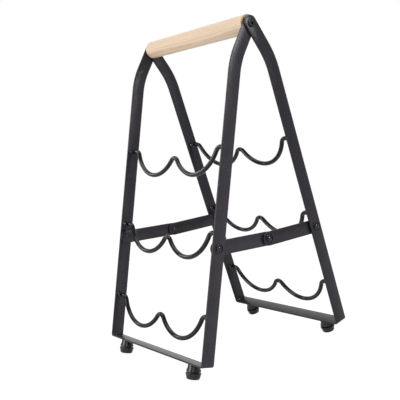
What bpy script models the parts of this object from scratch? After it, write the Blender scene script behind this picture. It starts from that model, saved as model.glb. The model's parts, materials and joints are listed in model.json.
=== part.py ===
"""Folding tabletop wine rack: two bent strap frames hinged on a round wooden handle, three waved wires
on each frame to carry bottles, a two-link folding brace on each side, and four rubber feet.

X runs along the handle, Y from the front frame to the rear frame, Z up, with the floor at zero."""

import math

import bmesh
import bpy
from mathutils import Matrix, Vector

MM = 0.001

# The two strap frames. Distances along a leg are measured from the pivot, down its centre line.
# INNER_WIDTH is between the legs at the bar, and each leg leans out by TOP_SPREAD up to the pivot.
# The middle of a leg's rounded tip lies TIP_PAST_SCREW beyond its screw.
STRAP_WIDTH = 16.9 * MM
STRAP_THICKNESS = 2.0 * MM
STRAP_CHAMFER = 0.3 * MM
INNER_WIDTH = 200.0 * MM
LAYER_GAP = 0.5 * MM
TOP_SPREAD = 3.4 * MM
TOP_ANGLE = math.radians(32.3)
LEG_ANGLE = math.radians(13.55)
TOP_LENGTH = 31.8 * MM
SHOULDER_RADIUS = 92.9 * MM
LEG_LENGTH = 331.95 * MM
TIP_PAST_SCREW = 0.9 * MM
CORNER_RADIUS = 1.5 * MM

# Clearance left between two pieces that touch on the real rack, and how far a cutter passes a wall.
CLEARANCE = 0.3 * MM
CUT_PAST = 1.0 * MM
WELD = 0.0005 * MM

# The wooden handle and the screws that hold the frames to it.
HANDLE_RADIUS = 11.1 * MM
HANDLE_EDGE = 1.6 * MM
SCREW_RADIUS = 2.5 * MM
SCREW_IN_WOOD = 22.0 * MM
PILOT_PAST = 2.0 * MM
SCREW_HEAD_RADIUS = 4.8 * MM
SCREW_HEAD_HEIGHT = 1.5 * MM
SCREW_HEAD_EDGE = 0.5 * MM
SOCKET_RADIUS = 1.75 * MM
SOCKET_DEPTH = 1.1 * MM

# The waved wires: two dips each, with a peak between them and a rounded turn into a short run at each leg.
# The lowest one's place is set from the bar, and the others follow upwards.
LOWER_WIRE_ABOVE_BAR = 55.45 * MM
LOWER_PITCH = 94.95 * MM
UPPER_PITCH = 97.95 * MM
WIRE_RADIUS = 2.8 * MM
DIP_RADIUS = 46.15 * MM
DIP_DEPTH = 31.35 * MM
PEAK_RADIUS = 8.2 * MM
PEAK_STEEPEST = math.radians(60)
TURN_RADIUS = 8.5 * MM
RUN_LENGTH = 7.5 * MM
RUN_RISE = 0.5 * MM
RUN_OUT = 1.45 * MM

# The flattened eye at each end of a wire, how far to one side of the wire it reaches, and its rivet.
EYE_RADIUS = 3.7 * MM
EYE_THICKNESS = 1.8 * MM
EYE_REACH = 2.85 * MM
EYE_BEND = 1.6 * MM
BEND_THICKNESS = 2.4 * MM
BEND_WIDTH = 6.0 * MM
BEND_LENGTH = 6.3 * MM
WIRE_RIVET_RADIUS = 1.2 * MM
WIRE_RIVET_HEAD_RADIUS = 2.4 * MM
WIRE_RIVET_HEAD_HEIGHT = 1.5 * MM
BLIND_DEPTH = 1.4 * MM

# The folding brace: two links a side, a little below straight when the rack stands open.
BRACE_BELOW_WIRE = 16.7 * MM
BRACE_DROP = 2.1 * MM
LINK_GAP = 0.85 * MM
BRACE_RIVET_RADIUS = 2.5 * MM
RIVET_FLANGE_RADIUS = 5.3 * MM
RIVET_FLANGE_HEIGHT = 0.9 * MM
RIVET_FLANGE_EDGE = 0.3 * MM
RIVET_HEAD_RADIUS = 3.7 * MM
RIVET_HEAD_HEIGHT = 2.7 * MM
RIVET_TAIL_RADIUS = 3.3 * MM
RIVET_TAIL_HEIGHT = 1.7 * MM

# The rubber feet: how far in from the legs' inner faces, and their radii and heights below the bar.
FOOT_INSET = 24.0 * MM
FOOT_TOP_RADIUS = 7.6 * MM
FOOT_COLLAR_RADIUS = 8.3 * MM
FOOT_GROOVE_RADIUS = 7.2 * MM
FOOT_RIM_RADIUS = 9.2 * MM
FOOT_SOLE_RADIUS = 7.2 * MM
FOOT_EDGE = 0.6 * MM
FOOT_COLLAR_HEIGHT = 8.6 * MM
FOOT_GROOVE_HEIGHT = 0.9 * MM
FOOT_RIM_HEIGHT = 1.6 * MM
FOOT_HEIGHT = 17.0 * MM

# Steps along each curve, and sides of each round section.
END_STEPS = 6
SHOULDER_STEPS = 5
CORNER_STEPS = 4
EYE_STEPS = 3
BEND_STEPS = 3
TURN_STEPS = 4
DIP_STEPS = 8
PEAK_STEPS = 6
DOME_STEPS = 3
EDGE_STEPS = 2
WIRE_SIDES = 8
SMALL_SIDES = 10
HOLE_SIDES = 12
ROUND_SIDES = 14
FOOT_SIDES = 20
HANDLE_SIDES = 28
SOCKET_SIDES = 6
SMOOTH_ANGLE = math.radians(32.0)
END_REACH_SHARE = 0.93

# Colour as linear red, green and blue, then roughness and metallic.
PAINT = ((0.058, 0.053, 0.062), 0.55, 0.0)
WIRE_PAINT = ((0.020, 0.019, 0.022), 0.30, 0.0)
FASTENER = ((0.024, 0.023, 0.026), 0.32, 0.6)
RUBBER = ((0.018, 0.018, 0.020), 0.42, 0.0)
WOOD = ((0.76, 0.56, 0.40), 0.50, 0.0)

SHOULDER_LENGTH = SHOULDER_RADIUS * (TOP_ANGLE - LEG_ANGLE)
BAR_LEVEL = TOP_LENGTH + SHOULDER_LENGTH + LEG_LENGTH
LOWER_WIRE = BAR_LEVEL - LOWER_WIRE_ABOVE_BAR
MIDDLE_WIRE = LOWER_WIRE - LOWER_PITCH
UPPER_WIRE = MIDDLE_WIRE - UPPER_PITCH
WIRE_LEVELS = {"upper": UPPER_WIRE, "middle": MIDDLE_WIRE, "lower": LOWER_WIRE}
BRACE_LEVEL = MIDDLE_WIRE + BRACE_BELOW_WIRE
FOOT_PLACE = INNER_WIDTH / 2 - FOOT_INSET
INNER_CENTRE = INNER_WIDTH / 2 + STRAP_THICKNESS / 2
OUTER_CENTRE = INNER_CENTRE + STRAP_THICKNESS + LAYER_GAP
HOLE_RADIUS = BRACE_RIVET_RADIUS + CLEARANCE
DOWN_LEG = Vector((0, math.sin(LEG_ANGLE), -math.cos(LEG_ANGLE)))
OUTWARD = Vector((0, math.cos(LEG_ANGLE), math.sin(LEG_ANGLE)))
ALONG = Vector((1, 0, 0))


def leg_point(distance):
    """A point on a leg's centre line, with the pivot at the origin, and the leg's angle there."""
    if distance <= TOP_LENGTH:
        angle = TOP_ANGLE
        return Vector((0, distance * math.sin(angle), -distance * math.cos(angle))), angle
    angle = max(LEG_ANGLE, TOP_ANGLE - (distance - TOP_LENGTH) / SHOULDER_RADIUS)
    shoulder = leg_point(TOP_LENGTH)[0]
    point = shoulder + SHOULDER_RADIUS * Vector(
        (0, math.cos(angle) - math.cos(TOP_ANGLE), math.sin(angle) - math.sin(TOP_ANGLE))
    )
    straight = max(distance - TOP_LENGTH - SHOULDER_LENGTH, 0)
    return point + straight * DOWN_LEG, angle


def lean(height):
    """How far a leg leans out at a height from the pivot, from TOP_SPREAD there to nothing at the bar."""
    return TOP_SPREAD * (1 - height / leg_point(BAR_LEVEL)[0].z)


def spread(first, last, steps):
    """Evenly spaced values from first to last, both included."""
    return [first + (last - first) * step / steps for step in range(steps + 1)]


def clear_scene():
    for obj in list(bpy.data.objects):
        bpy.data.objects.remove(obj, do_unlink=True)


def add_empty(name, location, turn=0.0):
    empty = bpy.data.objects.new(name, None)
    empty.empty_display_size = HANDLE_RADIUS
    empty.location = location
    empty.rotation_euler.z = turn
    bpy.context.scene.collection.objects.link(empty)
    return empty


def add_object(name, bm, parent, origin=None, finish=None):
    """Makes an object of a mesh drawn around its parent's origin, and puts its own origin at origin."""
    origin = Vector(origin or (0, 0, 0))
    bmesh.ops.translate(bm, verts=bm.verts, vec=-origin)
    bmesh.ops.recalc_face_normals(bm, faces=bm.faces)
    for face in bm.faces:
        face.smooth = True
    mesh = bpy.data.meshes.new(name)
    bm.to_mesh(mesh)
    bm.free()
    mesh.set_sharp_from_angle(angle=SMOOTH_ANGLE)
    obj = bpy.data.objects.new(name, mesh)
    obj.parent = parent
    obj.location = origin
    bpy.context.scene.collection.objects.link(obj)
    if finish:
        colour, roughness, metallic = finish
        material = bpy.data.materials.new(name)
        material.use_nodes = True
        shader = material.node_tree.nodes["Principled BSDF"]
        shader.inputs["Base Color"].default_value = (*colour, 1)
        shader.inputs["Roughness"].default_value = roughness
        shader.inputs["Metallic"].default_value = metallic
        mesh.materials.append(material)
    return obj


def cut(obj, cutter):
    """Cuts one mesh out of another, and hides the cutter."""
    cutter.hide_render = True
    cutter.display_type = "WIRE"
    modifier = obj.modifiers.new(cutter.name, "BOOLEAN")
    modifier.operation = "DIFFERENCE"
    modifier.solver = "EXACT"
    modifier.object = cutter


def loft(bm, rings):
    """Skins closed rings of points, one after the other, and caps both ends."""
    loops = []
    for points in rings:
        verts = [bm.verts.new(point) for point in points]
        loops.append([bm.edges.new(pair) for pair in zip(verts, verts[1:] + verts[:1])])
    for loop, following in zip(loops, loops[1:]):
        bmesh.ops.bridge_loops(bm, edges=loop + following)
    for loop in (loops[0], loops[-1]):
        bmesh.ops.contextual_create(bm, geom=loop)


def lathe(bm, profile, sides, centre, axis, start):
    """Spins a profile of (radius, height) around an axis. Start is the way its first point lies."""
    start = start.normalized()
    verts = [bm.verts.new(centre + start * radius + axis * height) for radius, height in profile]
    edges = [bm.edges.new(pair) for pair in zip(verts, verts[1:])]
    bmesh.ops.spin(
        bm, geom=verts + edges, cent=centre, axis=axis, angle=math.tau, steps=sides, use_merge=True
    )
    bmesh.ops.remove_doubles(bm, verts=bm.verts, dist=WELD)


def add_cylinder(bm, radius, first, last, sides=HOLE_SIDES):
    """A plain cylinder between two points, for a cutter."""
    axis = (last - first).normalized()
    turn = Vector((0, 0, 1)).rotation_difference(axis).to_matrix().to_4x4()
    place = Matrix.Translation((first + last) / 2) @ turn
    bmesh.ops.create_cone(
        bm,
        cap_ends=True,
        segments=sides,
        radius1=radius,
        radius2=radius,
        depth=(last - first).length,
        matrix=place,
    )


def strap_ring(centre, width, thickness, half_width):
    """The strap's section, a rectangle with small chamfers."""
    half = STRAP_THICKNESS / 2
    across, along = half_width - STRAP_CHAMFER, half - STRAP_CHAMFER
    corners = (
        (half_width, along),
        (across, half),
        (-across, half),
        (-half_width, along),
        (-half_width, -along),
        (-across, -half),
        (across, -half),
        (half_width, -along),
    )
    return [centre + width * w + thickness * t for w, t in corners]


def round_end():
    """How far each ring of a rounded strap end lies from its middle, and half its width, from the tip in."""
    radius = STRAP_WIDTH / 2
    reach = spread(math.radians(90) * END_REACH_SHARE, 0.0, END_STEPS)
    return [(radius * math.sin(angle), radius * math.cos(angle)) for angle in reach]


def leg_rings(x, side):
    """The strap's rings down one leg, from its rounded top to just above the corner."""
    corner = CORNER_RADIUS + STRAP_THICKNESS
    stops = [(-TIP_PAST_SCREW - distance, half) for distance, half in round_end()]
    shoulder = spread(TOP_LENGTH, TOP_LENGTH + SHOULDER_LENGTH, SHOULDER_STEPS)
    stops += [(distance, STRAP_WIDTH / 2) for distance in shoulder + [BAR_LEVEL - corner]]
    rings = []
    for distance, half in stops:
        point, angle = leg_point(distance)
        width = Vector((0, math.cos(angle), math.sin(angle)))
        rings.append(strap_ring(point + ALONG * x, width, ALONG * side, half))
    return rings


def corner_rings(x, side):
    """The strap's rings round one bottom corner, from the leg to the bar, without the leg's last."""
    radius = CORNER_RADIUS + STRAP_THICKNESS / 2
    middle = leg_point(BAR_LEVEL - CORNER_RADIUS - STRAP_THICKNESS)[0] + ALONG * (x - side * radius)
    rings = []
    for angle in spread(0.0, math.radians(90), CORNER_STEPS)[1:]:
        way = ALONG * side * math.cos(angle) + DOWN_LEG * math.sin(angle)
        rings.append(strap_ring(middle + way * radius, OUTWARD, way, STRAP_WIDTH / 2))
    return rings


def legs():
    """The outer and the inner leg of one frame: the strap's centre, the side it lies on, and its inner face.

    The rear frame's outer leg is on the right, and the front frame is the same one turned half round."""
    return (
        (OUTER_CENTRE, 1, OUTER_CENTRE - STRAP_THICKNESS / 2),
        (-INNER_CENTRE, -1, -INNER_CENTRE + STRAP_THICKNESS / 2),
    )


def eye_point(level, eye_side, side, face):
    """The middle of an eye's hole, on the leg's inner face."""
    point = leg_point(level)[0] + OUTWARD * (RUN_OUT + EYE_REACH * eye_side)
    return point + ALONG * (face + side * lean(point.z))


def add_frame(name, hinge, eye_side):
    """One frame: a strap bent into a U, with its holes for the screws, brace rivets and wire rivets."""
    (outer, _, _), (inner, _, _) = legs()
    rings = leg_rings(outer, 1) + corner_rings(outer, 1)
    back = leg_rings(inner, -1) + corner_rings(inner, -1)
    bm = bmesh.new()
    loft(bm, rings + back[::-1])
    for vert in bm.verts:
        vert.co.x += math.copysign(lean(vert.co.z), vert.co.x)
    frame = add_object(name, bm, hinge, finish=PAINT)

    bm = bmesh.new()
    for x, side, face in legs():
        through = STRAP_THICKNESS / 2 + CUT_PAST
        for distance in (0, BRACE_LEVEL):
            point = leg_point(distance)[0]
            point += ALONG * (x + side * lean(point.z))
            add_cylinder(bm, HOLE_RADIUS, point - ALONG * through, point + ALONG * through)
        for level in WIRE_LEVELS.values():
            point = eye_point(level, eye_side, side, face)
            first, last = point - ALONG * side * CUT_PAST, point + ALONG * side * BLIND_DEPTH
            add_cylinder(bm, WIRE_RIVET_RADIUS + CLEARANCE, first, last, SMALL_SIDES)
    cut(frame, add_object(name + "_holes", bm, hinge))


def wave_points():
    """The wave of a wire from its middle to the turn at one leg, as (along, down) from its eye's level."""
    dip_y = DIP_DEPTH - DIP_RADIUS
    turn_x = INNER_WIDTH / 2 - RUN_LENGTH
    turn_y = TURN_RADIUS - RUN_RISE
    dip_x = turn_x - math.sqrt((DIP_RADIUS + TURN_RADIUS) ** 2 - (turn_y - dip_y) ** 2)
    # The peak is wider where the dips lie so far apart that its flanks would be too steep.
    peak_radius = max(PEAK_RADIUS, dip_x / math.sin(PEAK_STEEPEST) - DIP_RADIUS)
    peak_y = dip_y + math.sqrt((DIP_RADIUS + peak_radius) ** 2 - dip_x**2)
    to_peak = math.atan2(dip_x, peak_y - dip_y)
    to_turn = math.atan2(turn_x - dip_x, turn_y - dip_y)
    points = []
    for angle in spread(0.0, to_peak, PEAK_STEPS // 2)[:-1]:
        points.append((peak_radius * math.sin(angle), peak_y - peak_radius * math.cos(angle), angle))
    for angle in spread(-to_peak, to_turn, DIP_STEPS):
        points.append((dip_x + DIP_RADIUS * math.sin(angle), dip_y + DIP_RADIUS * math.cos(angle), -angle))
    for angle in spread(to_turn, 0.0, TURN_STEPS)[1:]:
        points.append((turn_x - TURN_RADIUS * math.sin(angle), turn_y - TURN_RADIUS * math.cos(angle), -angle))
    return points


def wire_ring(centre, first, second, half_first, half_second):
    """A wire's section: an ellipse with the two half widths along the two directions."""
    turns = spread(0.0, math.tau, WIRE_SIDES)[:-1]
    return [
        centre + first * half_first * math.cos(turn) + second * half_second * math.sin(turn)
        for turn in turns
    ]


def end_rings(eye, side, eye_side):
    """A wire's rings from its run, round the rivet's head, to the tip of its eye on the leg's inner face."""
    inward = -ALONG * side
    across = OUTWARD * eye_side
    eye = eye + inward * (CLEARANCE + EYE_THICKNESS / 2)
    bend_middle = eye + inward * EYE_BEND - across * WIRE_RIVET_HEAD_RADIUS
    share_of_rise = spread(1.0, 0.0, BEND_STEPS)
    rings = [
        wire_ring(
            eye + inward * BEND_LENGTH - across * EYE_REACH - DOWN_LEG * RUN_RISE,
            across,
            DOWN_LEG,
            WIRE_RADIUS,
            WIRE_RADIUS,
        )
    ]
    for step, share in enumerate(share_of_rise):
        angle = math.radians(90) * share
        way = -across * math.sin(angle) - inward * math.cos(angle)
        thick = EYE_THICKNESS + (BEND_THICKNESS - EYE_THICKNESS) * share
        wide = EYE_RADIUS * 2 + (BEND_WIDTH - EYE_RADIUS * 2) * (BEND_STEPS - step + 1) / (BEND_STEPS + 1)
        centre = bend_middle + way * EYE_BEND - DOWN_LEG * RUN_RISE * (share + 1) / 2
        rings.append(wire_ring(centre, way, DOWN_LEG, thick / 2, wide / 2))
    for angle in spread(0.0, math.radians(90) * END_REACH_SHARE, EYE_STEPS):
        centre = eye + across * EYE_RADIUS * math.sin(angle)
        rings.append(wire_ring(centre, -inward, DOWN_LEG, EYE_THICKNESS / 2, EYE_RADIUS * math.cos(angle)))
    return rings


def add_wire(name, hinge, level, eye_side, sides):
    """One waved wire with a flattened, pierced eye at each end."""
    start = leg_point(level)[0]
    run = start + OUTWARD * RUN_OUT
    eyes = [(side, eye_point(level, eye_side, side, face)) for _, side, face in legs()]
    half = wave_points()
    wave = [(-along, down, -slope) for along, down, slope in half[:0:-1]] + half
    rings = []
    for along, down, slope in wave:
        way = DOWN_LEG * math.cos(slope) - ALONG * math.sin(slope)
        centre = run + ALONG * along + DOWN_LEG * down
        rings.append(wire_ring(centre, OUTWARD * eye_side, way, WIRE_RADIUS, WIRE_RADIUS))
    outer_end, inner_end = [end_rings(eye, side, eye_side) for side, eye in eyes]
    bm = bmesh.new()
    loft(bm, inner_end[::-1] + rings + outer_end)
    wire = add_object(name, bm, hinge, start, WIRE_PAINT)

    bm = bmesh.new()
    for side, eye in eyes:
        past = EYE_THICKNESS + CLEARANCE + CUT_PAST
        add_cylinder(bm, WIRE_RIVET_RADIUS + CLEARANCE, eye, eye - ALONG * side * past, SMALL_SIDES)
    cut(wire, add_object(name + "_eye_holes", bm, hinge, start))

    for end, (side, eye) in zip(sides, eyes):
        under = EYE_THICKNESS + 2 * CLEARANCE
        dome = [
            (WIRE_RIVET_HEAD_RADIUS * math.cos(turn), under + WIRE_RIVET_HEAD_HEIGHT * math.sin(turn))
            for turn in spread(0.0, math.radians(90), DOME_STEPS)[:-1]
        ]
        tip = CLEARANCE - BLIND_DEPTH
        profile = [(0, tip), (WIRE_RIVET_RADIUS, tip), (WIRE_RIVET_RADIUS, under)]
        profile += dome + [(0, under + WIRE_RIVET_HEAD_HEIGHT)]
        bm = bmesh.new()
        lathe(bm, profile, SMALL_SIDES, eye, -ALONG * side, DOWN_LEG)
        add_object(f"{name}_rivet_{end}", bm, hinge, eye, FASTENER)


def dome_profile(radius, height, foot, rim):
    """A low dome on a short straight rim, as (radius, height) from the rim's foot to the crown."""
    dome = [
        (radius * math.cos(turn), foot + rim + (height - rim) * math.sin(turn))
        for turn in spread(0.0, math.radians(90), DOME_STEPS)[:-1]
    ]
    return [(radius, foot)] + dome + [(0, foot + height)]


def flanged_profile(foot):
    """A brace rivet's head: a domed button on a flat flange."""
    top = foot + RIVET_FLANGE_HEIGHT
    flange = [
        (RIVET_FLANGE_RADIUS, foot),
        (RIVET_FLANGE_RADIUS, top - RIVET_FLANGE_EDGE),
        (RIVET_FLANGE_RADIUS - RIVET_FLANGE_EDGE, top),
    ]
    return flange + dome_profile(RIVET_HEAD_RADIUS, RIVET_HEAD_HEIGHT - RIVET_FLANGE_HEIGHT, top, CLEARANCE)


def link_rings(length):
    """A link's rings, rounded at both ends, from its leg rivet towards its middle rivet."""
    first = [(-distance, half) for distance, half in round_end()]
    last = [(length + distance, half) for distance, half in round_end()[::-1]]
    return first + last


def add_brace(frame, end, x, side, hinge):
    """One link, the rivet that holds it to its leg, and its half of the middle rivet."""
    rivet = leg_point(BRACE_LEVEL)[0]
    reach = math.hypot(rivet.y, BRACE_DROP)
    way = Vector((0, -rivet.y, -BRACE_DROP)) / reach
    width = Vector((0, -way.z, way.y))
    leg = ALONG * (x + side * lean(rivet.z))
    origin = rivet + leg - ALONG * side * (STRAP_THICKNESS + LINK_GAP)
    bm = bmesh.new()
    loft(bm, [strap_ring(origin + way * d, width, ALONG * side, half) for d, half in link_rings(reach)])
    link = add_object(f"{frame}_link_{end}", bm, hinge, origin, PAINT)

    bm = bmesh.new()
    through = STRAP_THICKNESS / 2 + CUT_PAST
    for distance in (0, reach):
        point = origin + way * distance
        add_cylinder(bm, HOLE_RADIUS, point - ALONG * through, point + ALONG * through)
    cut(link, add_object(link.name + "_holes", bm, hinge, origin))

    head = STRAP_THICKNESS / 2 + CLEARANCE
    tail = head + STRAP_THICKNESS + LINK_GAP
    crown = flanged_profile(head)
    knob = dome_profile(RIVET_TAIL_RADIUS, RIVET_TAIL_HEIGHT, tail, CLEARANCE)
    shank = [(BRACE_RIVET_RADIUS, -tail), (BRACE_RIVET_RADIUS, head)]
    bm = bmesh.new()
    profile = [(r, -h) for r, h in knob[::-1]] + shank + crown
    lathe(bm, profile, ROUND_SIDES, rivet + leg, ALONG * side, DOWN_LEG)
    add_object(f"{frame}_leg_rivet_{end}", bm, hinge, rivet + leg, FASTENER)

    centre = origin + way * reach
    bm = bmesh.new()
    if x == OUTER_CENTRE:
        flush = -STRAP_THICKNESS / 2
        profile = [(0, flush), (BRACE_RIVET_RADIUS, flush), (BRACE_RIVET_RADIUS, head)] + crown
    else:
        flush = STRAP_THICKNESS / 2
        knob = dome_profile(RIVET_TAIL_RADIUS, RIVET_TAIL_HEIGHT, head, CLEARANCE)
        profile = [(r, -h) for r, h in knob[::-1]]
        profile += [(BRACE_RIVET_RADIUS, -head), (BRACE_RIVET_RADIUS, flush), (0, flush)]
    lathe(bm, profile, ROUND_SIDES, centre, ALONG * side, width)
    add_object(f"{frame}_link_pin_{end}", bm, hinge, centre, FASTENER)


def foot_profile():
    """A foot's outline as (radius, height below the bar), from its top to its sole."""
    groove = FOOT_COLLAR_HEIGHT + FOOT_GROOVE_HEIGHT
    rim = groove + FOOT_RIM_HEIGHT
    sole = [
        (FOOT_SOLE_RADIUS + FOOT_EDGE * math.cos(turn), FOOT_HEIGHT - FOOT_EDGE + FOOT_EDGE * math.sin(turn))
        for turn in spread(0.0, math.radians(90), EDGE_STEPS)
    ]
    shoulder = FOOT_RIM_RADIUS - FOOT_EDGE
    return [
        (0, CLEARANCE),
        (FOOT_TOP_RADIUS - FOOT_EDGE, CLEARANCE),
        (FOOT_TOP_RADIUS, CLEARANCE + FOOT_EDGE),
        (FOOT_COLLAR_RADIUS, FOOT_COLLAR_HEIGHT - FOOT_EDGE),
        (FOOT_COLLAR_RADIUS - FOOT_EDGE / 2, FOOT_COLLAR_HEIGHT),
        (FOOT_GROOVE_RADIUS, FOOT_COLLAR_HEIGHT),
        (FOOT_GROOVE_RADIUS, groove),
        (shoulder, groove),
        (FOOT_RIM_RADIUS, groove + FOOT_EDGE),
        (FOOT_RIM_RADIUS, rim),
        *sole,
        (0, FOOT_HEIGHT),
    ]


def pivot_height():
    """The pivot's height, with the feet on the floor by the inner edges of their tilted soles."""
    sole = leg_point(BAR_LEVEL + FOOT_HEIGHT)[0]
    turns = spread(0.0, math.radians(90), EDGE_STEPS)
    flat = math.cos(math.pi / FOOT_SIDES)
    low = [
        sole
        - OUTWARD * (FOOT_SOLE_RADIUS + FOOT_EDGE * math.cos(turn)) * flat
        - DOWN_LEG * FOOT_EDGE * (1 - math.sin(turn))
        for turn in turns
    ]
    return -min(point.z for point in low)


def add_feet(frame, hinge, sides):
    for end, side in zip(sides, (1, -1)):
        top = leg_point(BAR_LEVEL)[0] + ALONG * side * FOOT_PLACE
        # A flat between two corners of the round faces the middle of the rack, so a foot stands on it.
        half_step = Matrix.Rotation(math.pi / FOOT_SIDES, 3, DOWN_LEG)
        bm = bmesh.new()
        lathe(bm, foot_profile(), FOOT_SIDES, top, DOWN_LEG, half_step @ OUTWARD)
        add_object(f"{frame}_foot_{end}", bm, hinge, top, RUBBER)


def add_handle(hinge):
    """The dowel, with a pilot hole and rounded edges at both ends."""
    end = INNER_WIDTH / 2 + TOP_SPREAD - CLEARANCE
    pilot = INNER_WIDTH / 2 + TOP_SPREAD - SCREW_IN_WOOD - PILOT_PAST
    radius = SCREW_RADIUS + CLEARANCE
    edge = [
        (HANDLE_RADIUS - HANDLE_EDGE * (1 - math.sin(turn)), end - HANDLE_EDGE * (1 - math.cos(turn)))
        for turn in spread(0.0, math.radians(90), EDGE_STEPS)
    ]
    half = [(0, pilot), (radius, pilot), (radius, end)] + edge
    bm = bmesh.new()
    profile = half + [(r, -h) for r, h in half[::-1]]
    lathe(bm, profile, HANDLE_SIDES, Vector(), ALONG, Vector((0, 0, 1)))
    add_object("handle", bm, hinge, finish=WOOD)


def add_screw(name, side, hinge):
    """A flat-headed screw with a hexagon socket, through both straps into the handle."""
    under = OUTER_CENTRE + TOP_SPREAD + STRAP_THICKNESS / 2 + CLEARANCE
    tip = INNER_WIDTH / 2 + TOP_SPREAD - SCREW_IN_WOOD
    top = under + SCREW_HEAD_HEIGHT
    bm = bmesh.new()
    profile = [
        (0, tip),
        (SCREW_RADIUS - SCREW_HEAD_EDGE, tip),
        (SCREW_RADIUS, tip + SCREW_HEAD_EDGE),
        (SCREW_RADIUS, under),
        (SCREW_HEAD_RADIUS, under),
        (SCREW_HEAD_RADIUS, top - SCREW_HEAD_EDGE),
        (SCREW_HEAD_RADIUS - SCREW_HEAD_EDGE, top),
        (0, top),
    ]
    lathe(bm, profile, ROUND_SIDES, Vector(), ALONG * side, Vector((0, 0, 1)))
    screw = add_object(name, bm, hinge, finish=FASTENER)
    bm = bmesh.new()
    first, last = ALONG * side * (top - SOCKET_DEPTH), ALONG * side * (top + CUT_PAST)
    add_cylinder(bm, SOCKET_RADIUS, first, last, SOCKET_SIDES)
    cut(screw, add_object(name + "_socket", bm, hinge))


def main():
    clear_scene()
    pivot = (0, 0, pivot_height())
    handle_hinge = add_empty("handle_hinge", pivot)
    add_handle(handle_hinge)
    add_screw("screw_right", 1, handle_hinge)
    add_screw("screw_left", -1, handle_hinge)
    for frame, turn, eye_side in (("rear", 0.0, -1), ("front", math.pi, 1)):
        sides = ("right", "left") if frame == "rear" else ("left", "right")
        hinge = add_empty(frame + "_hinge", pivot, turn)
        add_frame(frame + "_frame", hinge, eye_side)
        for height, level in WIRE_LEVELS.items():
            add_wire(f"{frame}_wire_{height}", hinge, level, eye_side, sides)
        for end, (x, side, _) in zip(sides, legs()):
            add_brace(frame, end, x, side, hinge)
        add_feet(frame, hinge, sides)


main()
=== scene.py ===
import json
import math

import bmesh
import bpy
from mathutils import Euler, Matrix, Vector


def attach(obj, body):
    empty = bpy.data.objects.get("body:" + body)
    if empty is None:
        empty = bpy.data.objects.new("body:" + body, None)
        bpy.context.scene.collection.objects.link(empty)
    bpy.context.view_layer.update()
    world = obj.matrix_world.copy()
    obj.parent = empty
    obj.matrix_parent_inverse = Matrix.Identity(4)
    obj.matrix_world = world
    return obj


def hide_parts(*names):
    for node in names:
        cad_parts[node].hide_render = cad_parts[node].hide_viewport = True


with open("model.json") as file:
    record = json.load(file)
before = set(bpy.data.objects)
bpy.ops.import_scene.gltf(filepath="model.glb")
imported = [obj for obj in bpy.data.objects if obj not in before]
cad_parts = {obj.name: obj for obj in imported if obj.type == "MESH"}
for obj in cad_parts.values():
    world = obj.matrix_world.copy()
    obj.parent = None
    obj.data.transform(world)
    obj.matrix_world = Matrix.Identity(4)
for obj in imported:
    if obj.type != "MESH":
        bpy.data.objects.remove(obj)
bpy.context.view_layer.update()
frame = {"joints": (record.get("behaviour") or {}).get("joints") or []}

# Strap frames. Each is one flat steel bar with rounded ends, curved edgewise below the handle and
# folded twice on the press into a U, then powder coated in fine charcoal. Both are the same part:
# the front one is the rear one turned half round, so that each is the outer one at one end.
MM = 0.001
QUARTER_TURN = math.radians(90)
STRAP_WIDTH = 16.9 * MM
STRAP_THICKNESS = 2.0 * MM
STRAP_EDGE = 0.3 * MM
INNER_WIDTH = 200.0 * MM
LAYER_GAP = 0.5 * MM
TOP_SPREAD = 3.4 * MM
TOP_ANGLE = math.radians(32.3)
LEG_ANGLE = math.radians(13.55)
TOP_LENGTH = 31.8 * MM
SHOULDER_RADIUS = 92.9 * MM
LEG_LENGTH = 331.95 * MM
TIP_PAST_SCREW = 0.9 * MM
CORNER_RADIUS = 1.5 * MM
CLEARANCE = 0.3 * MM
WELD = 0.02 * MM
FINE_WELD = 0.005 * MM
SHARP_EDGE = math.radians(60)
SMOOTH_ANGLE = math.radians(34)
SHOULDER_STEPS = 14
CORNER_STEPS = 10
TIP_SEGMENTS = 12
EDGE_SEGMENTS = 2

# TIP_RADIUS is a hair under half the strap's width, so that a tip's two bevels stay apart.
PIVOT = Vector(next(j["pos_m"] for j in frame["joints"] if j["name"] == "frame_fold"))
TIP_RADIUS = STRAP_WIDTH / 2 - FINE_WELD
SHOULDER_LENGTH = SHOULDER_RADIUS * (TOP_ANGLE - LEG_ANGLE)
BAR_LEVEL = TOP_LENGTH + SHOULDER_LENGTH + LEG_LENGTH
INNER_CENTRE = INNER_WIDTH / 2 + STRAP_THICKNESS / 2
OUTER_CENTRE = INNER_CENTRE + STRAP_THICKNESS + LAYER_GAP
ALONG = Vector((1, 0, 0))
DOWN_TOP = Vector((0, math.sin(TOP_ANGLE), -math.cos(TOP_ANGLE)))
DOWN_LEG = Vector((0, math.sin(LEG_ANGLE), -math.cos(LEG_ANGLE)))
OUTWARD = Vector((0, math.cos(LEG_ANGLE), math.sin(LEG_ANGLE)))
SHOULDER_CENTRE = DOWN_TOP * TOP_LENGTH + DOWN_TOP.cross(ALONG) * SHOULDER_RADIUS

# Each frame is drawn as the rear one, with the pivot at the origin, and then put in its place.
# That turns the front one round, so that its drawn right side (1) comes to the left.
PLACES = {
    "rear": Matrix.Translation(PIVOT),
    "front": Matrix.Translation(PIVOT) @ Matrix.Rotation(math.pi, 4, "Z"),
}
SIDES = {"rear": {1: "right", -1: "left"}, "front": {1: "left", -1: "right"}}


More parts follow.
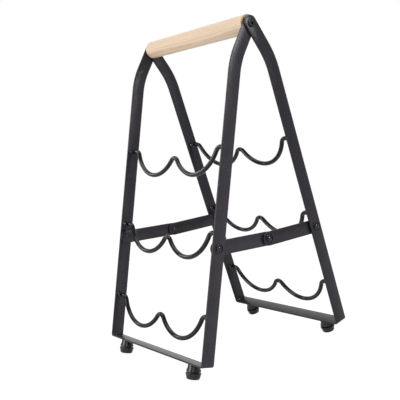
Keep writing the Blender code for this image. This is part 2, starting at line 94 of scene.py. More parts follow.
class Value:
    """A node's output socket. Sums on it add Math nodes."""

    def __init__(self, nodes, socket):
        self.nodes, self.socket = nodes, socket

    def math(self, operation, *values):
        return self.nodes.node("ShaderNodeMath", {"operation": operation}, dict(enumerate(values)))

    def __add__(self, other):
        return self.math("ADD", self, other)

    def __sub__(self, other):
        return self.math("SUBTRACT", self, other)

    def __rsub__(self, other):
        return self.math("SUBTRACT", other, self)

    def __mul__(self, other):
        return self.math("MULTIPLY", self, other)

    def __pow__(self, other):
        return self.math("POWER", self, other)

    def __abs__(self):
        return self.math("ABSOLUTE", self)

    def sine(self):
        return self.math("SINE", self)

    __radd__ = __add__
    __rmul__ = __mul__

    def step(self, first, last):
        """Rises smoothly from 0 at first to 1 at last."""
        return self.nodes.node(
            "ShaderNodeMapRange",
            {"interpolation_type": "SMOOTHSTEP"},
            {"Value": self, "From Min": first, "From Max": last},
        )


class Nodes:
    """The node tree of a finish or of the studio's light, and the calls that add nodes to it."""

    def __init__(self, owner, shader):
        owner.use_nodes = True
        self.tree = owner.node_tree
        self.shader = self.tree.nodes[shader]

    def feed(self, **values):
        """Sets or links the shader's sockets, named in lower case with underscores."""
        for name, value in values.items():
            socket = self.shader.inputs[name.replace("_", " ").title().replace("Ior", "IOR")]
            self.join(value, socket)

    def join(self, value, socket):
        if isinstance(value, Value):
            self.tree.links.new(value.socket, socket)
        else:
            socket.default_value = value

    def node(self, kind, settings=None, inputs=None, output=0):
        """Adds a node, with its settings first and then its sockets' values or links."""
        node = self.tree.nodes.new(kind)
        for name, value in (settings or {}).items():
            setattr(node, name, value)
        for name, value in (inputs or {}).items():
            self.join(value, node.inputs[name])
        return Value(self, node.outputs[output])


class Finish(Nodes):
    """A surface finish: a material with patterns on Object coordinates."""

    def __init__(self, name, **values):
        self.material = bpy.data.materials.new(name)
        super().__init__(self.material, "Principled BSDF")
        self.feed(**values)
        self.object = self.node("ShaderNodeTexCoord", output="Object")

    def noise(self, scale, detail, vector=None):
        inputs = {"Vector": vector or self.object, "Scale": scale, "Detail": detail}
        return self.node("ShaderNodeTexNoise", {}, inputs)

    def ramp(self, factor, *stops):
        """Turns a value into a colour, by stops of (value, colour)."""
        colours = self.node("ShaderNodeValToRGB", {}, {"Fac": factor})
        elements = colours.socket.node.color_ramp.elements
        for position, _ in stops[1:-1]:
            elements.new(position)
        for element, (position, colour) in zip(elements, stops):
            element.position, element.color = position, (*colour, 1)
        return colours

    def bump(self, height, distance):
        inputs = {"Height": height, "Distance": distance, "Strength": 1.0}
        self.feed(normal=self.node("ShaderNodeBump", {}, inputs))


def powder_coat(name, tone):
    """Matt charcoal powder coat: a fine sandy skin over faint clouds left by the spray."""
    coat = Finish(name, specular_ior_level=0.30)
    sand = coat.noise(2400, 2.0)
    clouds = coat.noise(60, 3.0)
    speckle = 0.7 * sand + 0.3 * clouds
    dark = (0.62 * tone, 0.52 * tone, 0.73 * tone)
    light = (1.38 * tone, 1.19 * tone, 1.57 * tone)
    coat.feed(
        base_color=coat.ramp(speckle, (0.36, dark), (0.64, light)),
        roughness=0.22 + 0.14 * sand,
    )
    coat.bump(sand, 0.05 * MM)
    return coat.material


def edges_of(geometry):
    return [item for item in geometry if isinstance(item, bmesh.types.BMEdge)]


def verts_of(edges):
    return list(dict.fromkeys(vert for edge in edges for vert in edge.verts))


def push(bm, loop, step):
    """Carries a bar's open end straight on, and gives its new end."""
    loop = edges_of(bmesh.ops.extrude_edge_only(bm, edges=loop)["geom"])
    bmesh.ops.translate(bm, verts=verts_of(loop), vec=step)
    return loop


def turn(bm, loop, centre, axis, angle, steps):
    """Carries a bar's open end round a bend, and gives its new end."""
    spun = bmesh.ops.spin(bm, geom=loop, cent=centre, axis=axis, angle=angle, steps=steps)
    return edges_of(spun["geom_last"])


def round_edges(bm, edges, radius, segments):
    bmesh.ops.bevel(
        bm,
        geom=edges,
        offset=radius,
        affect="EDGES",
        segments=segments,
        profile=0.5,
        material=-1,
        clamp_overlap=True,
    )
    bmesh.ops.remove_doubles(bm, verts=bm.verts, dist=WELD)


def sharp_edges(bm):
    return [edge for edge in bm.edges if edge.calc_face_angle(0) > SHARP_EDGE]


def add_piece(name, bm, place, finish, body, slot, *nodes):
    """Turns a finished mesh into a piece that rides on a body in place of its CAD nodes."""
    bmesh.ops.recalc_face_normals(bm, faces=bm.faces)
    bmesh.ops.transform(bm, matrix=place, verts=bm.verts)
    for face in bm.faces:
        face.smooth = True
    mesh = bpy.data.meshes.new(name)
    bm.to_mesh(mesh)
    bm.free()
    mesh.set_sharp_from_angle(angle=SMOOTH_ANGLE)
    mesh.materials.append(finish)
    piece = bpy.data.objects.new(name, mesh)
    bpy.context.scene.collection.objects.link(piece)
    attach(piece, body)
    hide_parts(*nodes)


def leg_point(distance):
    """A point on a leg's centre line, so far down it from the pivot."""
    if distance <= TOP_LENGTH:
        return DOWN_TOP * distance
    angle = min((distance - TOP_LENGTH) / SHOULDER_RADIUS, TOP_ANGLE - LEG_ANGLE)
    shoulder = DOWN_TOP * TOP_LENGTH - SHOULDER_CENTRE
    shoulder.rotate(Matrix.Rotation(-angle, 3, "X"))
    straight = max(distance - TOP_LENGTH - SHOULDER_LENGTH, 0)
    return SHOULDER_CENTRE + shoulder + DOWN_LEG * straight


def lean(height):
    """How far a leg leans out: TOP_SPREAD at the pivot's height, and nothing at the bar."""
    return TOP_SPREAD * (1 - height / leg_point(BAR_LEVEL).z)


def bend_strap():
    """Draws the bar through its six bends, from the outer leg's tip to the inner leg's."""
    tip = STRAP_WIDTH / 2 + TIP_PAST_SCREW
    corner = CORNER_RADIUS + STRAP_THICKNESS
    corner_centre = CORNER_RADIUS + STRAP_THICKNESS / 2
    low = leg_point(BAR_LEVEL - corner)
    bm = bmesh.new()
    bmesh.ops.create_grid(bm, x_segments=1, y_segments=1, size=0.5)
    section = Matrix((ALONG * STRAP_THICKNESS, DOWN_TOP.cross(ALONG) * STRAP_WIDTH, DOWN_TOP))
    start = Matrix.Translation(ALONG * OUTER_CENTRE - DOWN_TOP * tip)
    bmesh.ops.transform(bm, matrix=start @ section.transposed().to_4x4(), verts=bm.verts)
    loop = push(bm, bm.edges[:], DOWN_TOP * (tip + TOP_LENGTH))
    loop = turn(bm, loop, SHOULDER_CENTRE, ALONG, LEG_ANGLE - TOP_ANGLE, SHOULDER_STEPS)
    loop = push(bm, loop, DOWN_LEG * (LEG_LENGTH - corner))
    centre = low + ALONG * (OUTER_CENTRE - corner_centre)
    loop = turn(bm, loop, centre, OUTWARD, QUARTER_TURN, CORNER_STEPS)
    loop = push(bm, loop, ALONG * (2 * corner_centre - OUTER_CENTRE - INNER_CENTRE))
    centre = low - ALONG * (INNER_CENTRE - corner_centre)
    loop = turn(bm, loop, centre, OUTWARD, QUARTER_TURN, CORNER_STEPS)
    loop = push(bm, loop, DOWN_LEG * (corner - LEG_LENGTH))
    loop = turn(bm, loop, SHOULDER_CENTRE, ALONG, TOP_ANGLE - LEG_ANGLE, SHOULDER_STEPS)
    push(bm, loop, -DOWN_TOP * (tip + TOP_LENGTH))
    bmesh.ops.holes_fill(bm, edges=bm.edges)
    bmesh.ops.recalc_face_normals(bm, faces=bm.faces)
    tips = [
        edge
        for edge in bm.edges
        if min(vert.co.z for vert in edge.verts) > 0
        and abs(edge.verts[0].co.x - edge.verts[1].co.x) > STRAP_THICKNESS / 2
    ]
    round_edges(bm, tips, TIP_RADIUS, TIP_SEGMENTS)
    round_edges(bm, sharp_edges(bm), STRAP_EDGE, EDGE_SEGMENTS)
    for vert in bm.verts:
        vert.co.x += math.copysign(lean(vert.co.z), vert.co.x)
    return bm


# Painted light and shade: the front frame's coat is a shade lighter than the rear one's.
PAINTED_LIGHT_AND_SHADE_TONES = {"front": 0.034, "rear": 0.021}
lit_and_shaded_charcoals = {
    end: powder_coat(f"charcoal_coat_painted_light_and_shade_{end}", tone) for end, tone in PAINTED_LIGHT_AND_SHADE_TONES.items()
}
for end, place in PLACES.items():
    body, node = f"{end}_frame_body", f"{end}_frame"
    add_piece(f"{end}_strap_frame", bend_strap(), place, lit_and_shaded_charcoals[end], body, "paint", node)

# Waved wires. Each is a 5.6 mm steel rod, bent on a jig into two dips that a bottle lies in, with
# both ends turned along the legs and hammered flat into a pierced eye, then dipped in gloss black.
LOWER_WIRE_ABOVE_BAR = 55.45 * MM
LOWER_PITCH = 94.95 * MM
UPPER_PITCH = 97.95 * MM
WIRE_RADIUS = 2.8 * MM
DIP_RADIUS = 46.15 * MM
DIP_SPACING = 85.67 * MM
DIP_DEPTH = 31.35 * MM
PEAK_RADIUS = 8.2 * MM
TURN_RADIUS = 8.5 * MM
RUN_RISE = 0.5 * MM
RUN_OUT = 1.45 * MM
EYE_RADIUS = 3.7 * MM
EYE_THICKNESS = 1.8 * MM
EYE_REACH = 2.85 * MM
EYE_BEND = 1.6 * MM
EYE_NECK = math.radians(-38)
NECK_THICKNESS = 2.4 * MM
HAMMERED_LENGTH = 6.3 * MM
RIVET_ROOM = 2.4 * MM
WIRE_SIDES = 24
TURN_STEPS = 10
DIP_STEPS = 30
PEAK_STEPS = 16
BEND_STEPS = 8
EYE_STEPS = 14
LOWER_WIRE = BAR_LEVEL - LOWER_WIRE_ABOVE_BAR
MIDDLE_WIRE = LOWER_WIRE - LOWER_PITCH
WIRE_LEVELS = {"lower": LOWER_WIRE, "middle": MIDDLE_WIRE, "upper": MIDDLE_WIRE - UPPER_PITCH}

# EYE_NECK is where on the eye's circle its neck joins it, short of the middle. EYE_SIDES says
# which way across the leg an eye lies, and INNER_FACES how far out each leg's inner face is.
EYE_SIDES = {"rear": -1, "front": 1}
INNER_FACES = {1: OUTER_CENTRE - STRAP_THICKNESS / 2, -1: -INNER_CENTRE + STRAP_THICKNESS / 2}


def about(centre, change):
    """A change made about a point."""
    return Matrix.Translation(centre) @ change.to_4x4() @ Matrix.Translation(-centre)


def middle_of(verts):
    return sum((vert.co for vert in verts), Vector()) / len(verts)


def squeeze(bm, loop, direction, factor):
    """Presses a bar's end thinner, or spreads it wider, along one direction."""
    verts = verts_of(loop)
    change = about(middle_of(verts), Matrix.Scale(factor, 4, direction))
    bmesh.ops.transform(bm, matrix=change, verts=verts)


def eye_point(end, level, side):
    """The middle of an eye's hole, on the leg's inner face."""
    point = leg_point(level) + OUTWARD * (RUN_OUT + EYE_REACH * EYE_SIDES[end])
    return point + ALONG * (INNER_FACES[side] + side * lean(point.z))


def form_eye(bm, loop, side, eye, across):
    """Hammers the rod's end flat, bends it along the leg past the rivet, and forms a round eye."""
    inward = -ALONG * side
    eye = eye + inward * (CLEARANCE + EYE_THICKNESS / 2)
    centre = eye + inward * EYE_BEND - across * RIVET_ROOM - DOWN_LEG * RUN_RISE
    reach = (eye + inward * HAMMERED_LENGTH - middle_of(verts_of(loop))).x
    loop = push(bm, loop, ALONG * reach)
    swing = centre - across * EYE_BEND - middle_of(verts_of(loop))
    aside = across * swing.dot(across)
    thin = (NECK_THICKNESS / 2 / WIRE_RADIUS) ** (1 / BEND_STEPS)
    for step in range(BEND_STEPS):
        share = math.sin(math.pi * (step + 0.5) / BEND_STEPS) * math.sin(math.pi / 2 / BEND_STEPS)
        loop = push(bm, loop, (swing - aside) / BEND_STEPS + aside * share)
        squeeze(bm, loop, across, thin)
    thin = (EYE_THICKNESS / NECK_THICKNESS) ** (1 / BEND_STEPS)
    wide = (EYE_RADIUS * math.cos(EYE_NECK) / WIRE_RADIUS) ** (1 / BEND_STEPS)
    axis = (ALONG * side).cross(across)
    way = -across
    for _ in range(BEND_STEPS):
        loop = turn(bm, loop, centre, axis, QUARTER_TURN / BEND_STEPS, 1)
        way.rotate(Matrix.Rotation(QUARTER_TURN / BEND_STEPS, 3, axis))
        squeeze(bm, loop, way, thin)
        squeeze(bm, loop, DOWN_LEG, wide)
        bmesh.ops.translate(bm, verts=verts_of(loop), vec=DOWN_LEG * RUN_RISE / BEND_STEPS)
    neck = (eye - middle_of(verts_of(loop))).dot(across)
    angle = EYE_NECK
    loop = push(bm, loop, across * (neck + EYE_RADIUS * math.sin(angle)))
    for step in range(1, EYE_STEPS):
        last, angle = angle, EYE_NECK + (QUARTER_TURN - EYE_NECK) * step / EYE_STEPS
        loop = push(bm, loop, across * EYE_RADIUS * (math.sin(angle) - math.sin(last)))
        squeeze(bm, loop, DOWN_LEG, math.cos(angle) / math.cos(last))


def wave_wire(end, level):
    """Draws the rod from its left turn to its right one, and then forms both ends."""
    run = leg_point(level) + OUTWARD * RUN_OUT
    dip = Vector((DIP_SPACING / 2, DIP_DEPTH - DIP_RADIUS))
    peak = Vector((0, dip.y + math.sqrt((DIP_RADIUS + PEAK_RADIUS) ** 2 - dip.x**2)))
    turn_y = TURN_RADIUS - RUN_RISE
    turn_x = dip.x + math.sqrt((DIP_RADIUS + TURN_RADIUS) ** 2 - (turn_y - dip.y) ** 2)
    to_peak = math.atan2(dip.x, peak.y - dip.y)
    to_turn = math.atan2(turn_x - dip.x, turn_y - dip.y)
    bm = bmesh.new()
    bmesh.ops.create_circle(bm, cap_ends=False, segments=WIRE_SIDES, radius=WIRE_RADIUS)
    section = Matrix((OUTWARD, DOWN_LEG, ALONG)).transposed().to_4x4()
    place = Matrix.Translation(run - ALONG * turn_x - DOWN_LEG * RUN_RISE) @ section
    bmesh.ops.transform(bm, matrix=place, verts=bm.verts)
    left = bm.edges[:]
    bends = (
        (-turn_x, turn_y, to_turn, TURN_STEPS),
        (-dip.x, dip.y, -to_turn - to_peak, DIP_STEPS),
        (0, peak.y, 2 * to_peak, PEAK_STEPS),
        (dip.x, dip.y, -to_peak - to_turn, DIP_STEPS),
        (turn_x, turn_y, to_turn, TURN_STEPS),
    )
    loop = left
    for x, down, angle, steps in bends:
        loop = turn(bm, loop, run + ALONG * x + DOWN_LEG * down, OUTWARD, angle, steps)
    across = OUTWARD * EYE_SIDES[end]
    form_eye(bm, left, -1, eye_point(end, level, -1), across)
    form_eye(bm, loop, 1, eye_point(end, level, 1), across)
    bmesh.ops.holes_fill(bm, edges=bm.edges)
    return bm


def gloss_black(name):
    """Gloss black dip coat: nearly smooth, with a soft orange-peel ripple and a little dust."""
    coat = Finish(name, specular_ior_level=0.38)
    ripple = coat.noise(240, 2.0)
    dust = coat.noise(1900, 2.0)
    black, dusty = (0.0014, 0.0011, 0.0020), (0.0042, 0.0035, 0.0055)
    coat.feed(
        base_color=coat.ramp(dust, (0.35, black), (0.75, dusty)),
        roughness=0.04 + 0.04 * ripple + 0.04 * dust,
    )
    coat.bump(ripple + 0.05 * dust, 0.03 * MM)
    return coat.material


gloss = gloss_black("gloss_black_coat")
for end, place in PLACES.items():
    for height, level in WIRE_LEVELS.items():
        wire = wave_wire(end, level)
        node = f"{end}_wire_{height}"
        add_piece(f"{end}_rod_{height}", wire, place, gloss, f"{end}_frame_body", "wire", node)

# Wire rivets. A small domed steel rivet goes through each eye and is set into the leg without
# showing outside. It is blackened and burnished.
WIRE_RIVET_RADIUS = 1.2 * MM
WIRE_RIVET_HEAD_RADIUS = 2.4 * MM
WIRE_RIVET_HEAD_HEIGHT = 1.5 * MM
WIRE_RIVET_SIDES = 28
WIRE_RIVET_STEPS = 8
BLIND_DEPTH = 1.4 * MM


def dome(radius, foot, height, steps):
    """The outline of a low dome from its foot's edge to its crown, as (radius, height) pairs."""
    turns = [QUARTER_TURN * step / steps for step in range(steps + 1)]
    return [(radius * math.cos(a), foot + height * math.sin(a)) for a in turns]


def lathe(outline, centre, axis, sides):
    """Spins an outline of (radius, height) pairs about an axis into a closed solid."""
    bm = bmesh.new()
    start = axis.orthogonal().normalized()
    verts = [bm.verts.new(centre + start * radius + axis * height) for radius, height in outline]
    edges = [bm.edges.new(pair) for pair in zip(verts, verts[1:])]
    bmesh.ops.spin(
        bm,
        geom=verts + edges,
        cent=centre,
        axis=axis,
        angle=math.tau,
        steps=sides,
        use_merge=True,
    )
    bmesh.ops.remove_doubles(bm, verts=bm.verts, dist=FINE_WELD)
    bmesh.ops.recalc_face_normals(bm, faces=bm.faces)
    return bm


def burnished_black(name):
    """Blackened steel, burnished: dark metal, faintly mottled lighter and darker."""
    steel = Finish(name, metallic=1.0)
    mottle = steel.noise(900, 3.0)
    black, rubbed = (0.036, 0.035, 0.037), (0.076, 0.073, 0.079)
    steel.feed(
        base_color=steel.ramp(mottle, (0.3, black), (0.7, rubbed)),
        roughness=0.06 + 0.08 * mottle,
    )
    steel.bump(mottle, 0.008 * MM)
    return steel.material


burnished = burnished_black("burnished_black_steel")
under_head = EYE_THICKNESS + 2 * CLEARANCE
wire_rivet_outline = [
    (0, CLEARANCE - BLIND_DEPTH),
    (WIRE_RIVET_RADIUS, CLEARANCE - BLIND_DEPTH),
    (WIRE_RIVET_RADIUS, under_head),
    *dome(WIRE_RIVET_HEAD_RADIUS, under_head, WIRE_RIVET_HEAD_HEIGHT, WIRE_RIVET_STEPS),
]
for end, place in PLACES.items():
    for height, level in WIRE_LEVELS.items():
        for side in INNER_FACES:
            in_eye = eye_point(end, level, side)
            rivet = lathe(wire_rivet_outline, in_eye, -ALONG * side, WIRE_RIVET_SIDES)
            hand = SIDES[end][side]
            node = f"{end}_wire_{height}_rivet_{hand}"
            name = f"{end}_rod_{height}_rivet_{hand}"
            add_piece(name, rivet, place, burnished, f"{end}_frame_body", "fastener", node)

# Folding brace. On each side two short links of the same strap join the legs, and hang a little
# below straight when the rack stands open. A big domed rivet holds each link to its leg, and one
# more joins the two links in the middle: its head is on the outer link and its tail on the inner.
BRACE_BELOW_WIRE = 16.7 * MM
BRACE_DROP = 2.1 * MM
LINK_GAP = 0.85 * MM
BRACE_RIVET_RADIUS = 2.5 * MM
RIVET_FLANGE_RADIUS = 5.3 * MM
RIVET_FLANGE_HEIGHT = 0.9 * MM
RIVET_FLANGE_EDGE = 0.4 * MM
RIVET_GROOVE = 0.75 * MM
RIVET_HEAD_RADIUS = 3.7 * MM
RIVET_HEAD_HEIGHT = 2.7 * MM
RIVET_TAIL_RADIUS = 3.3 * MM
RIVET_TAIL_HEIGHT = 1.7 * MM
RIVET_SIDES = 48
BUTTON_STEPS = 10
FLANGE_EDGE_STEPS = 4
BRACE_LEVEL = WIRE_LEVELS["middle"] + BRACE_BELOW_WIRE


def rounded_rim(radius, top, size, steps):
    """A round outer edge from its widest point up to its top, as (radius, height) pairs."""
    return [(radius - size + out, height) for out, height in dome(size, top - size, size, steps)]


def button(radius, foot, height):
    """A dome on a short straight rim, as (radius, height) pairs."""
    return [(radius, foot)] + dome(radius, foot + CLEARANCE, height - CLEARANCE, BUTTON_STEPS)


def flanged_head(foot):
    """A domed button in a round-edged, dished flange, as (radius, height) pairs."""
    top = foot + RIVET_FLANGE_HEIGHT
    dish = top - RIVET_GROOVE
    return [
        (RIVET_FLANGE_RADIUS, foot),
        *rounded_rim(RIVET_FLANGE_RADIUS, top, RIVET_FLANGE_EDGE, FLANGE_EDGE_STEPS),
        (RIVET_FLANGE_RADIUS - 2 * RIVET_FLANGE_EDGE, dish),
        *button(RIVET_HEAD_RADIUS, dish, foot + RIVET_HEAD_HEIGHT - dish),
    ]


def formed_tail(foot):
    """A rivet's tail from its crown up to the shank, as (radius, height) pairs below 0."""
    tail = button(RIVET_TAIL_RADIUS, foot, RIVET_TAIL_HEIGHT)[::-1]
    return [(radius, -height) for radius, height in tail] + [(BRACE_RIVET_RADIUS, -foot)]


def cut_link(reach):
    """A flat bar along Y with round ends, and with its rivets' centres at 0 and at its reach."""
    bm = bmesh.new()
    bmesh.ops.create_cube(bm, size=1)
    size = (STRAP_THICKNESS, reach + STRAP_WIDTH, STRAP_WIDTH)
    bmesh.ops.scale(bm, verts=bm.verts, vec=size)
    bmesh.ops.translate(bm, verts=bm.verts, vec=(0, reach / 2, 0))
    ends = [e for e in bm.edges if abs(e.verts[0].co.x - e.verts[1].co.x) > STRAP_THICKNESS / 2]
    round_edges(bm, ends, TIP_RADIUS, TIP_SEGMENTS)
    round_edges(bm, sharp_edges(bm), STRAP_EDGE, EDGE_SEGMENTS)
    return bm


leg_rivet = leg_point(BRACE_LEVEL)
link_reach = math.hypot(leg_rivet.y, BRACE_DROP)
link_way = Vector((0, -leg_rivet.y, -BRACE_DROP)) / link_reach
flush = STRAP_THICKNESS / 2
head_foot = flush + CLEARANCE
tail_foot = head_foot + STRAP_THICKNESS + LINK_GAP
shank_and_head = [(BRACE_RIVET_RADIUS, head_foot), *flanged_head(head_foot)]
leg_rivet_outline = formed_tail(tail_foot) + shank_and_head
middle_rivet_outlines = {
    1: [(0, -flush), (BRACE_RIVET_RADIUS, -flush), *shank_and_head],
    -1: [*formed_tail(head_foot), (BRACE_RIVET_RADIUS, flush), (0, flush)],
}
for end, place in PLACES.items():
    for side, centre in ((1, OUTER_CENTRE), (-1, -INNER_CENTRE)):
        hand, out = SIDES[end][side], ALONG * side
        link_body = f"{end}_link_{hand}_body"
        in_leg = leg_rivet + ALONG * (centre + side * lean(leg_rivet.z))
        in_link = in_leg - out * (STRAP_THICKNESS + LINK_GAP)
        hung = Matrix((ALONG, link_way, ALONG.cross(link_way))).transposed().to_4x4()
        link = cut_link(link_reach)
        bmesh.ops.transform(link, matrix=Matrix.Translation(in_link) @ hung, verts=link.verts)
        name = f"{end}_brace_link_{hand}"
        # Each link takes its frame's coat: painted lighter on the front frame, painted darker on
        # the rear.
        add_piece(name, link, place, lit_and_shaded_charcoals[end], link_body, "paint", f"{end}_link_{hand}")

        rivet = lathe(leg_rivet_outline, in_leg, out, RIVET_SIDES)
        name = f"{end}_brace_rivet_{hand}"
        node = f"{end}_leg_rivet_{hand}"
        add_piece(name, rivet, place, burnished, f"{end}_frame_body", "fastener", node)

        in_middle = in_link + link_way * link_reach
        pin = lathe(middle_rivet_outlines[side], in_middle, out, RIVET_SIDES)
        name = f"{end}_middle_rivet_{hand}"
        add_piece(name, pin, place, burnished, link_body, "fastener", f"{end}_link_pin_{hand}")

# Feet. Four moulded rubber feet sit under the bars on hidden screws: a flared collar, a groove,
# and a wider rim over a tapered sole. They follow the tilt of the frames.
FOOT_INSET = 24.0 * MM
FOOT_SIDES = 64

# Radius and distance below the bar's underside, in mm, from the collar's top down to the sole.
FOOT_OUTLINE = (
    (0, 0.3),
    (6.7, 0.3),
    (7.0, 0.55),
    (7.15, 1.2),
    (7.5, 4.5),
    (8.7, 7.6),
    (8.75, 8.0),
    (8.4, 8.2),
    (6.5, 8.2),
    (6.5, 9.6),
    (8.6, 9.6),
    (9.0, 9.8),
    (9.15, 10.2),
    (9.15, 10.8),
    (9.0, 11.3),
    (7.75, 16.3),
    (7.5, 16.8),
    (7.1, 17.0),
    (0, 17.0),
)


def moulded_rubber(name):
    """Black moulded rubber: dull gloss, with a soft mottled bloom."""
    rubber = Finish(name, specular_ior_level=0.5)
    bloom = rubber.noise(350, 4.0)
    black, bloomed = (0.0040, 0.0038, 0.0042), (0.0110, 0.0105, 0.0115)
    rubber.feed(
        base_color=rubber.ramp(bloom, (0.3, black), (0.75, bloomed)),
        roughness=0.16 + 0.14 * bloom,
    )
    rubber.bump(bloom + 0.3 * rubber.noise(2600, 2.0), 0.04 * MM)
    return rubber.material


rubber = moulded_rubber("black_moulded_rubber")
foot_outline = [(radius * MM, height * MM) for radius, height in FOOT_OUTLINE]
for end, place in PLACES.items():
    for side in (1, -1):
        top = leg_point(BAR_LEVEL) + ALONG * side * (INNER_WIDTH / 2 - FOOT_INSET)
        foot = lathe(foot_outline, top, DOWN_LEG, FOOT_SIDES)
        body, hand = f"{end}_frame_body", SIDES[end][side]
        node = f"{end}_foot_{hand}"
        add_piece(f"{end}_rubber_foot_{hand}", foot, place, rubber, body, "rubber", node)

# Handle. A turned dowel of pale hardwood with rounded ends, sanded and given a thin clear lacquer.
# A pilot hole in each end takes the screw that holds the frames.
HANDLE_RADIUS = 11.1 * MM
HANDLE_EDGE = 1.0 * MM
HANDLE_SIDES = 96
HANDLE_EDGE_STEPS = 8
SCREW_RADIUS = 2.5 * MM
SCREW_IN_WOOD = 22.0 * MM
PILOT_PAST = 2.0 * MM
LEG_REACH = INNER_WIDTH / 2 + TOP_SPREAD

# The tree's heart lay below the dowel and in front of it. RING_WAVE gives a ring every 1.85 mm.
HEART_Y = -31.0 * MM
HEART_Z = -24.0 * MM
RING_SWAY = 6.0 * MM
RING_WAVE = 3400
END_GRAIN_STARTS = LEG_REACH - 1.3 * MM
END_GRAIN_FULL = LEG_REACH - 0.6 * MM


def stretched(wood, scale, move=(0, 0, 0)):
    """Object coordinates moved and stretched, so that noise on them runs along the grain."""
    inputs = {"Vector": wood.object, "Location": move, "Scale": scale}
    return wood.node("ShaderNodeMapping", {}, inputs)


def mix_colours(finish, factor, first, second):
    """Mixes two colours. A Mix node has them at inputs 6 and 7, and gives them at output 2."""
    inputs = {0: factor, 6: first, 7: second}
    return finish.node("ShaderNodeMix", {"data_type": "RGBA"}, inputs, output=2)


def pale_wood(name, middle):
    """Pale hardwood, its grain along X: soft year bands, fine pores, and darker end grain."""
    wood = Finish(name, coat_weight=0.15, coat_roughness=0.35)
    from_middle = {"Vector": stretched(wood, (1, 1, 1), -middle)}
    x, y, z = (wood.node("ShaderNodeSeparateXYZ", {}, from_middle, axis) for axis in "XYZ")
    sway = wood.noise(1, 2.0, stretched(wood, (7, 30, 30)))
    heart = ((y - HEART_Y) ** 2 + (z - HEART_Z) ** 2) ** 0.5 + RING_SWAY * sway
    rings = 0.5 + 0.5 * (RING_WAVE * heart).sine()
    fibres = wood.noise(1, 4.0, stretched(wood, (28, 900, 900)))
    pores = wood.noise(1, 2.0, stretched(wood, (130, 2600, 2600))).step(0.62, 0.74)
    bands = wood.noise(1, 3.0, stretched(wood, (9, 120, 120)))
    body = wood.ramp(
        0.34 * rings + 0.34 * fibres + 0.32 * bands,
        (0.25, (0.64, 0.462, 0.315)),
        (0.50, (0.755, 0.570, 0.412)),
        (0.78, (0.830, 0.650, 0.490)),
    )
    body = mix_colours(wood, 0.30 * pores, body, (0.44, 0.28, 0.17, 1))
    ends = abs(x).step(END_GRAIN_STARTS, END_GRAIN_FULL)
    body = mix_colours(wood, 0.9 * ends, body, (0.42, 0.235, 0.115, 1))
    wood.feed(base_color=body, roughness=0.40 + 0.20 * fibres)
    wood.bump(0.7 * fibres + 0.3 * rings - 0.6 * pores, 0.05 * MM)
    return wood.material


def turn_handle():
    """Turns the dowel about its axis, and drills both ends."""
    end = LEG_REACH - CLEARANCE
    pilot = LEG_REACH - SCREW_IN_WOOD - PILOT_PAST
    hole = SCREW_RADIUS + CLEARANCE
    edge = rounded_rim(HANDLE_RADIUS, end, HANDLE_EDGE, HANDLE_EDGE_STEPS)
    half = [(0, pilot), (hole, pilot), (hole, end), *edge[::-1]]
    outline = half + [(radius, -height) for radius, height in half[::-1]]
    return lathe(outline, Vector(), ALONG, HANDLE_SIDES)


CENTRE = Matrix.Translation(PIVOT)
wood = pale_wood("lacquered_pale_wood", PIVOT)
add_piece("wooden_handle", turn_handle(), CENTRE, wood, "handle_body", "wood", "handle")

# Handle screws. A flat-headed steel screw with a hexagon socket goes through both straps at each
# end of the handle. Its head is powder coated in a darker charcoal than the frames.
SCREW_HEAD_RADIUS = 4.8 * MM
SCREW_HEAD_HEIGHT = 1.5 * MM
SCREW_EDGE = 0.5 * MM
SCREW_EDGE_STEPS = 5
SCREW_SIDES = 48
SCREW_COAT_TONE = 0.014
SOCKET_RADIUS = 1.75 * MM
SOCKET_RING_RADIUS = 1.35 * SOCKET_RADIUS
SOCKET_DEPTH = 1.1 * MM


def socket_screw(side):
    """Turns a screw that is open on top, and sinks a hexagon socket there."""
    under = OUTER_CENTRE + TOP_SPREAD + STRAP_THICKNESS / 2 + CLEARANCE
    tip = LEG_REACH - SCREW_IN_WOOD
    top = under + SCREW_HEAD_HEIGHT
    outline = [
        (0, tip),
        (SCREW_RADIUS - SCREW_EDGE, tip),
        (SCREW_RADIUS, tip + SCREW_EDGE),
        (SCREW_RADIUS, under),
        (SCREW_HEAD_RADIUS, under),
        *rounded_rim(SCREW_HEAD_RADIUS, top, SCREW_EDGE, SCREW_EDGE_STEPS),
        (SOCKET_RING_RADIUS, top),
    ]
    bm = lathe(outline, Vector(), ALONG * side, SCREW_SIDES)
    rim = [edge for edge in bm.edges if edge.is_boundary]
    place = Matrix.Translation(ALONG * side * top) @ Matrix.Rotation(QUARTER_TURN, 4, "Y")
    made = bmesh.ops.create_circle(bm, segments=6, radius=SOCKET_RADIUS, matrix=place)
    mouth = list(dict.fromkeys(edge for vert in made["verts"] for edge in vert.link_edges))
    bmesh.ops.bridge_loops(bm, edges=rim + mouth)
    push(bm, mouth, ALONG * -side * SOCKET_DEPTH)
    bmesh.ops.holes_fill(bm, edges=bm.edges)
    return bm


screw_coat = powder_coat("charcoal_screw_coat", SCREW_COAT_TONE)
for side, hand in ((1, "right"), (-1, "left")):
    screw = socket_screw(side)
    name = f"handle_screw_{hand}"
    add_piece(name, screw, CENTRE, screw_coat, "handle_body", "fastener", f"screw_{hand}")

# Studio. A plain white floor that runs back into a white background, five soft lamps round the
# rack, and a camera at the photograph's angle. The background is dimmer on the camera's side.
CAMERA_PLACE = (0.73117, -0.53896, 0.28833)
CAMERA_YAW = 54.656
CAMERA_PITCH = 6.092
CAMERA_ROLL = -6.073
CAMERA_LENS = 63.748
CAMERA_SENSOR = 36.0
FLOOR_SIZE = 30.0
FLOOR_PAINT = 0.8
FLOOR_GLOW = 1.17
FLOOR_GLOW_SHARE = 0.8
MIRRORED_SHARE = 0.3
ROOM_LIGHT = 0.22
BACK_STARTS = 0.30
BACK_FULL = 0.80
BACK_WAY = Vector((-0.80, 0.60, 0))

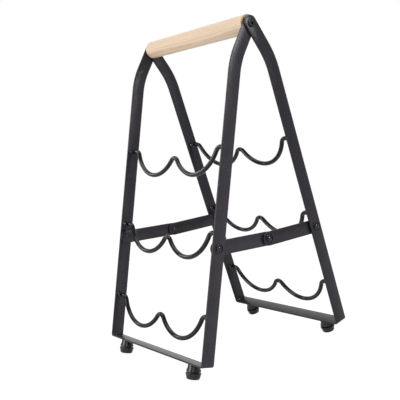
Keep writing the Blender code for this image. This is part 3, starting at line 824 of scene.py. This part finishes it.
# Each lamp's name, place, target, width in metres and power in watts.
LAMPS = (
    ("overhead_softbox", (-0.30, -0.20, 1.45), (0, 0, 0.15), 0.90, 6.6),
    ("right_softbox", (1.15, 0.35, 0.75), (0, 0, 0.20), 0.36, 6.5),
    ("front_softbox", (0.76, -0.74, 0.68), (0, -0.10, 0.20), 0.55, 1.5),
    ("low_softbox", (-0.30, -1.25, 0.40), (0, 0, 0.22), 0.60, 7.0),
    ("left_softbox", (-1.04, -0.68, 0.63), (0, 0, 0.20), 0.30, 1.6),
)


def aim(place, target):
    return (Vector(target) - Vector(place)).to_track_quat("-Z", "Y").to_euler()


def seen_by(nodes):
    """How white a ray finds the background: the camera's fully, and reflected ones in part."""
    camera, glossy, through = (
        nodes.node("ShaderNodeLightPath", output=f"Is {kind} Ray")
        for kind in ("Camera", "Glossy", "Transmission")
    )
    return camera + MIRRORED_SHARE * (glossy + through)


def white_floor():
    """Pale floor that shows white to the camera and partly in gloss, and keeps a soft shadow."""
    paint = (FLOOR_PAINT, FLOOR_PAINT, FLOOR_PAINT, 1)
    floor = Finish("white_floor", roughness=0.9, base_color=paint)
    glow = floor.node("ShaderNodeEmission", {}, {"Strength": FLOOR_GLOW})
    lit = Value(floor, floor.shader.outputs[0])
    share = FLOOR_GLOW_SHARE * seen_by(floor)
    mixed = floor.node("ShaderNodeMixShader", {}, {0: share, 1: lit, 2: glow})
    floor.join(mixed, floor.tree.nodes["Material Output"].inputs["Surface"])
    return floor.material


bm = bmesh.new()
bmesh.ops.create_grid(bm, x_segments=1, y_segments=1, size=FLOOR_SIZE)
mesh = bpy.data.meshes.new("floor")
bm.to_mesh(mesh)
bm.free()
mesh.materials.append(white_floor())
floor = bpy.data.objects.new("floor", mesh)
bpy.context.scene.collection.objects.link(floor)

for name, place, target, size, power in LAMPS:
    lamp = bpy.data.lights.new(name, "AREA")
    lamp.shape, lamp.size, lamp.energy = "SQUARE", size, power
    holder = bpy.data.objects.new(name, lamp)
    holder.location, holder.rotation_euler = place, aim(place, target)
    holder.visible_camera = False
    bpy.context.scene.collection.objects.link(holder)

world = bpy.data.worlds.new("studio")
studio = Nodes(world, "Background")
way = studio.node("ShaderNodeTexCoord", output="Generated")
facing = studio.node(
    "ShaderNodeVectorMath", {"operation": "DOT_PRODUCT"}, {0: way, 1: BACK_WAY}, "Value"
)
room = ROOM_LIGHT + (1 - ROOM_LIGHT) * facing.step(BACK_STARTS, BACK_FULL)
studio.feed(color=(1, 1, 1, 1), strength=room + (1 - room) * seen_by(studio))
bpy.context.scene.world = world

camera_data = bpy.data.cameras.new("camera")
camera_data.lens, camera_data.sensor_width = CAMERA_LENS, CAMERA_SENSOR
camera = bpy.data.objects.new("camera", camera_data)
level = Euler((math.radians(90 - CAMERA_PITCH), 0, math.radians(CAMERA_YAW))).to_matrix()
camera.rotation_euler = (level @ Matrix.Rotation(math.radians(CAMERA_ROLL), 3, "Z")).to_euler()
camera.location = CAMERA_PLACE
bpy.context.scene.collection.objects.link(camera)
bpy.context.scene.camera = camera
bpy.context.scene.view_settings.view_transform = "Standard"
